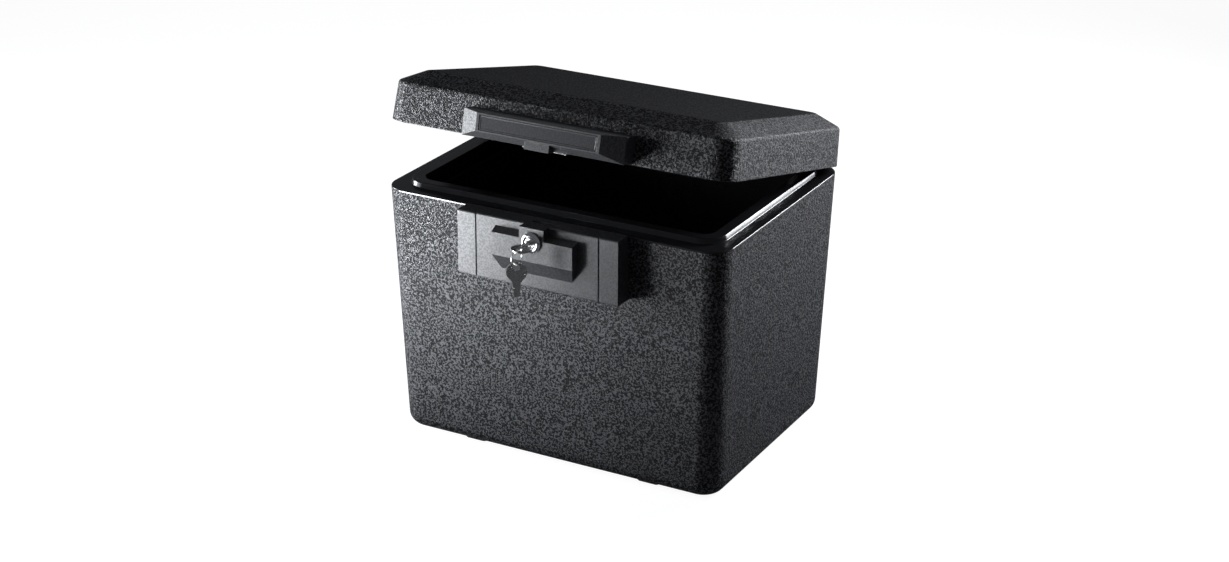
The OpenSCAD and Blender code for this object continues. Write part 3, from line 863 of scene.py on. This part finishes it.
def key_blank():
    """Key lying in XY, centred on its bow, blade towards +Y."""
    half, neck, shoulder_y, tip = 3.8, 11.4, 4.55, 24.8  # blade half width, then places in Y
    shoulder = math.degrees(math.atan2(4.4, 9.2))
    outline = [(-half, neck), (-9.15, shoulder_y)]
    outline += arc(10.3, 180 - shoulder, 360 + shoulder, 44)
    outline += [(9.15, shoulder_y), (half, neck)]
    # notches along the right edge going out, then along the left edge coming back
    for i in range(3):
        y, reach, depth = 16.8 + 3 * i, 1.0 + 0.1 * i, 0.5 + 0.25 * i
        outline += [
            (half, y - reach), (half - depth, y - 0.4), (half - depth, y + 0.4), (half, y + reach),
        ]
    outline += [(half, tip), (2.2, 26.4), (-2.2, 26.4), (-half, tip)]
    for i in (2, 1, 0):
        y, reach, depth = 16.8 + 3 * i, 1.2 - 0.1 * i, 0.9 - 0.2 * i
        outline += [
            (-half, y + reach), (-half + depth, y + 0.4),
            (-half + depth, y - 0.4), (-half, y - reach),
        ]
    steps = [(CUT, rod(upright(0, BOW_HOLE_Y), 3.4, -1, 3, 40))]
    # shallow sunk faces inside the bow's rim, with a collar left round the hole
    for z0, z1 in ((-1, 0.28), (1.52, 3)):
        collar = rod(upright(0, BOW_HOLE_Y), 4.5, -2, 4, 40)
        steps.append((CUT, solid(rod(upright(0, 0), 9.0, z0, z1, 56), (CUT, collar))))
    # channels along the blade, one on each face
    steps.append((CUT, box(-1.9, -0.7, 11.6, 30, -1, 0.55)))
    steps.append((CUT, box(0.7, 1.9, 11.6, 30, 1.25, 3)))
    return solid(extrude(outline, KEY_THICK, lambda u, v, w: (u, v, w)), *steps)


IN_LOCK = Matrix.Translation((0, -191, LOCK_Z - KEY_THICK / 2))
HANGING = (
    Matrix.Translation((0, RING_CENTRE.y, 247.35))
    @ Matrix.Rotation(math.radians(28), 4, "Z")
    @ Matrix.Rotation(math.radians(-90), 4, "X")
    @ Matrix.Translation((0, -BOW_HOLE_Y, -KEY_THICK / 2))
)
for name, place, body, node in (
    ("key_in_lock", IN_LOCK, "key", "key"),
    ("key_spare_hanging", HANGING, "spare", "spare_key"),
):
    blank = moved(key_blank(), place)
    piece(name, blank, "key_metal", body, node, bevel=0.16, seg=2, limit=35)


def split_ring():
    """Flat-sided wire wound twice, the turns lying against each other."""
    turns, steps, radius = 2.0, 160, 7.6
    # wire section: offset outwards, offset along the ring's axis
    wire = [
        (0.48, -0.2), (0.48, 0.2), (0.36, 0.25), (-0.36, 0.25),
        (-0.48, 0.2), (-0.48, -0.2), (-0.36, -0.25), (0.36, -0.25),
    ]
    sections = []
    for i in range(steps + 1):
        # the wire covers the middle 88% of the two turns
        along = 0.06 + 0.88 * i / steps
        a = 2 * math.pi * turns * along + 0.9
        # it steps over to the second turn in a short crank and is level elsewhere
        t = min(max((along - 0.44) / 0.12, 0), 1)
        h = -0.24 + 0.48 * (t * t * (3 - 2 * t))
        sections.append([
            ((radius + out) * math.cos(a), (radius + out) * math.sin(a), h + side * 0.94)
            for out, side in wire
        ])
    place = (
        Matrix.Translation(RING_CENTRE)
        @ Matrix.Rotation(math.radians(-10.6), 4, "Z")
        @ Matrix.Rotation(math.radians(90), 4, "Y")
    )
    return moved(skin(sections), place)


piece("key_split_ring", split_ring(), "key_metal", "ring", "key_ring", sharp=40)


# ---------------------------------------------------------------- lid
def lid_shell():
    """Shallow cover with sloping shoulders and a flat top."""
    # z, half x, half y, corner radius
    rows = [
        (331.7, 160, 107.5, 5), (331.7, 168.7, 116.2, 8.3), (318.9, 193.15, 140.65, 22.2),
        (LID_BASE, 195.4, LID_Y, 24), (LID_BASE, 192.4, 139.9, 21),
        (317.7, 190.16, 137.66, 19.4), (328.7, 168.5, 116, 7),
    ]
    bm = loft(soften(rows, {1: 2.4, 2: 2.6, 3: 0.9, 4: 0.4}, 6))
    return solid(bm, (CUT, pockets(hinge_spans(PIN_HALF), 4.5, 0.5)))


piece("lid_shell_textured", lid_shell(), "textured_plastic", "lid", "lid_shell", sharp=45)


def lid_liner():
    """Inner tray of the lid with a channel round its edge."""
    # z, half x, half y, corner radius
    rows = [
        (312, 149, 96, 9), (311, 152.2, 99.2, 10.8), (308, 155, 102, 12.5),
        (279, 161.5, 108.5, 13.5), (279, 164.5, 111.5, 16),
        (283.5, 164.5, 111.5, 16), (283.5, 181.2, 127.2, 24.2),
        (277.3, 181.6, 127.6, 24.6), (277.3, 190.4, 137.9, 22),
        (LID_BASE, 190.5, 138.0, 22), (LID_BASE, 192.25, 139.75, 21),
        (281.1, 192.15, 139.65, 21), (281.1, 186, 132, 22),
        (286, 186, 132, 22), (286, 162.7, 109.7, 15.8),
        (306.5, 157.6, 104.6, 15), (314.5, 154.5, 101.5, 14),
    ]
    cuts = {1: 1.2, 2: 1.6, 3: 0.7, 4: 0.7, 5: 0.8, 6: 0.8, 7: 0.7, 8: 0.7, 10: 0.4}
    return loft(soften(rows, cuts))


piece("lid_liner_moulding", lid_liner(), "smooth_plastic", "lid", "lid_liner", sharp=40)


def handle():
    """Hollow front moulding of the lid: tapered grip and a centre tab below it."""
    bottom, top, grip_bottom = 279.6, 307.0, 287.5
    back_low, back_high = -lid_y(bottom) - SEAT_GAP, -lid_y(top) - SEAT_GAP
    middle, ends, grip = -157.9, -160.9, -172.9  # front faces
    body = poly(
        [(-91.5, back_low, bottom), (91.5, back_low, bottom), (91.5, ends, bottom),
         (68.5, middle, bottom), (-68.5, middle, bottom), (-91.5, ends, bottom),
         (-91.5, back_high, top), (91.5, back_high, top), (91.5, ends, top), (-91.5, ends, top),
         (69.5, grip, top - 1), (-69.5, grip, top - 1),
         (69.5, grip, grip_bottom), (-69.5, grip, grip_bottom)],
        [(5, 4, 3, 2, 1, 0), (1, 7, 6, 0), (2, 8, 7, 1), (0, 6, 9, 5), (12, 10, 8, 2),
         (5, 9, 11, 13), (13, 11, 10, 12), (4, 13, 12, 3), (3, 12, 2), (5, 13, 4),
         (7, 8, 9, 6), (8, 10, 11, 9)],
    )
    return solid(
        body,
        (ADD, box(-14, 14, -170.9, -159.4, 278.4, 292.4)),
        # hollows behind the plate and the grip, then the opening for the cam
        (CUT, box(-89, 89, -158.4, -120, 282.1, 304.5)),
        (CUT, box(-66.5, 66.5, -169.9, -149.9, 290, 303.5)),
        (CUT, box(-14, 19.5, CAM_Y - 4, CAM_Y + 4, 278, 284.6)),
        # recess for the name plate
        (CUT, box(-66, 66, -174, -171.7, 289, 304.5)),
    )


piece(
    "lid_handle_moulding", handle(), "handle_plastic", "lid", "lid_handle", bevel=0.6, limit=20,
)
posts = [boss(x, z, 4.2, front, -lid_y(z) - 0.3, -154.9) for x, z, front in HANDLE_POSTS]
piece("lid_handle_bosses", merged(*posts), "handle_plastic", "lid", sharp=50)


def name_plate():
    """Blank plate: a raised edge round a slightly sunk panel."""
    bm = box(-65.9, 65.9, -172.5, -171.72, 289.1, 304.4)
    inset = bmesh.ops.inset_region
    front = [f for f in bm.faces if f.normal.y < -0.9]
    inset(bm, faces=front, thickness=1.5, use_even_offset=True)
    panel = [f for f in bm.faces if f.normal.y < -0.9 and f.calc_area() > 1000]
    inset(bm, faces=panel, thickness=0.25, depth=-0.22, use_even_offset=True)
    return bm


piece("handle_name_plate", name_plate(), "label_plastic", "lid", "label_plate", bevel=0.12, seg=2)

STRIKE_SCREWS_X = (-18.5, 22.8)


def strike():
    """Flat plate under the handle with a slot for the cam and two countersunk holes."""
    steps = [(CUT, box(-4.5, 18.5, CAM_Y - 2.5, CAM_Y + 2.5, 270, 290))]
    for x in STRIKE_SCREWS_X:
        sink = [(0, 278.2), (3.15, 278.2), (1.55, 279.8), (0, 279.8)]
        steps.append((CUT, lathe(sink, upright(x, CAM_Y), 32)))
    return solid(box(-22.5, 26.8, CAM_Y - 5.6, CAM_Y + 6.4, 278.3, 279.58), *steps)


piece("strike_plate_steel", strike(), "zinc_steel", "lid", "strike_plate", bevel=0.15, seg=2)


def strike_screw(x):
    """Countersunk screw with a cross recess in its underside."""
    # radius, z
    profile = [
        (0, 278.35), (2.75, 278.35), (2.9, 278.45), (1.5, 279.6), (1.5, 286.2), (0, 287.3),
    ]
    return solid(
        lathe(profile, upright(x, CAM_Y), 28),
        (CUT, box(x - 0.4, x + 0.4, CAM_Y - 1.7, CAM_Y + 1.7, 277, 279.1)),
        (CUT, box(x - 1.7, x + 1.7, CAM_Y - 0.4, CAM_Y + 0.4, 277, 279.1)),
    )


strike_screws = [strike_screw(x) for x in STRIKE_SCREWS_X]
screw_set("strike_plate_screws", strike_screws, "lid", "strike_screws")

# filled blocks inside both shells keep their CAD shape
for node in ("body_insulation", "lid_insulation"):
    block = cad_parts[node].data
    block.materials.clear()
    block.materials.append(MATERIALS["insulation"])


# ---------------------------------------------------------------- stage, light, camera (metres)
def pale_floor():
    """Near white to the camera, dim to other rays, and clear when seen from below."""
    mat = Material("pale_floor")
    tint = mat.noise(scale=3, detail=3.0)
    mat.surface(
        Base_Color=mat.mix(tint, low=(0.20, 0.20, 0.202), high=(0.22, 0.22, 0.222)),
        Roughness=mat.fit(mat.noise(scale=6), to=(0.85, 0.95)),
        Specular_IOR_Level=0.1,
    )
    glow = mat.node("Emission", {"Color": (1.0, 1.0, 1.0, 1), "Strength": 0.93})
    bright = mat.node("AddShader", {0: mat.shader.outputs[0], 1: glow.outputs[0]})
    dim = mat.node("BsdfDiffuse", {"Color": (0.16, 0.16, 0.165, 1)})
    camera_ray = mat.node("LightPath", {}).outputs["Is Camera Ray"]
    above = mat.node("MixShader", {0: camera_ray, 1: dim.outputs[0], 2: bright.outputs[0]})
    below = mat.node("NewGeometry", {}).outputs["Backfacing"]
    clear = mat.node("BsdfTransparent", {})
    both = mat.node("MixShader", {0: below, 1: above.outputs[0], 2: clear.outputs[0]})
    mat.put(mat.output.inputs[0], both.outputs[0])
    return mat.data


floor_mesh = bpy.data.meshes.new("floor")
floor_mesh.from_pydata([(-9, -9, 0), (9, -9, 0), (9, 9, 0), (-9, 9, 0)], [], [(0, 1, 2, 3)])
floor = bpy.data.objects.new("floor", floor_mesh)
floor_mesh.materials.append(pale_floor())
COLLECTION.objects.link(floor)

scene = bpy.context.scene
world = bpy.data.worlds.new("studio")
scene.world = world
world.use_nodes = True
world_tree = world.node_tree
world_tree.nodes.clear()
world_output = world_tree.nodes.new("ShaderNodeOutputWorld")
background = world_tree.nodes.new("ShaderNodeBackground")
background.inputs["Color"].default_value = (0.9, 0.93, 1.0, 1)
background.inputs["Strength"].default_value = 0.10
world_tree.links.new(background.outputs[0], world_output.inputs[0])

COOL, SIDE_COOL = (0.94, 0.97, 1.0), (0.94, 0.965, 1.0)


def area(name, at, to, size, watts, colour=COOL, spread=180):
    """Rectangular light at one point, aimed at another, hidden from the camera."""
    light = bpy.data.lights.new(name, "AREA")
    light.shape = "RECTANGLE"
    light.size, light.size_y = size
    light.energy = watts
    light.color = colour
    light.spread = math.radians(spread)
    obj = bpy.data.objects.new(name, light)
    COLLECTION.objects.link(obj)
    obj.visible_camera = False
    obj.location = at
    obj.rotation_mode = "QUATERNION"
    obj.rotation_quaternion = (Vector(to) - Vector(at)).to_track_quat("-Z", "Y")


# two upward cards just over the floor, then lamps from the left and from behind on the right
area("card_front", at=(-0.70, -0.74, 0.012), to=(-0.70, -0.74, 1.0), size=(0.56, 0.56), watts=5)
area("card_left", at=(-0.45, -0.50, 0.012), to=(-0.45, -0.50, 1.0), size=(0.3, 0.3), watts=2.0)
area(
    "spot_left", at=(-0.45, -0.50, 0.10), to=(-0.17, -0.12, 0.22), size=(0.24, 0.16),
    watts=1.0, spread=70,
)
area("key_left", at=(-1.5, -0.42, 0.34), to=(0.0, 0.0, 0.25), size=(0.5, 0.5), watts=19)
area("key_rim", at=(-1.3, -0.30, 0.20), to=(-0.1, -0.1, 0.27), size=(0.4, 0.3), watts=6)
area("key_front", at=(-0.98, -0.62, 0.40), to=(-0.12, -0.10, 0.27), size=(0.5, 0.42), watts=3)
area(
    "side_high", at=(0.75, 1.1, 0.75), to=(0.15, 0.0, 0.25), size=(0.4, 0.4),
    watts=21, colour=SIDE_COOL,
)
area(
    "side_low", at=(0.80, 0.95, 0.22), to=(0.16, 0.06, 0.38), size=(0.3, 0.3),
    watts=4, colour=SIDE_COOL,
)


def add_camera(at, yaw, pitch, roll, lens):
    """Camera turned left by yaw and down by pitch from +Y; angles in radians, lens in mm."""
    data = bpy.data.cameras.new("view")
    data.sensor_width = 36
    data.lens = lens
    data.clip_start, data.clip_end = 0.05, 60
    obj = bpy.data.objects.new("view", data)
    COLLECTION.objects.link(obj)
    right = Vector((math.cos(yaw), math.sin(yaw), 0))
    level = math.cos(pitch)
    ahead = Vector((-math.sin(yaw) * level, math.cos(yaw) * level, -math.sin(pitch)))
    up = right.cross(ahead)
    rolled_right = right * math.cos(roll) + up * math.sin(roll)
    rolled_up = up * math.cos(roll) - right * math.sin(roll)
    turn = Matrix((rolled_right, rolled_up, -ahead)).transposed().to_4x4()
    obj.matrix_world = Matrix.Translation(at) @ turn
    scene.camera = obj


add_camera(
    at=(1.11007, -2.04766, 1.12680), yaw=0.49680, pitch=0.39338, roll=0.00557, lens=69.950138
)
scene.view_settings.view_transform = "Standard"
scene.view_settings.look = "None"
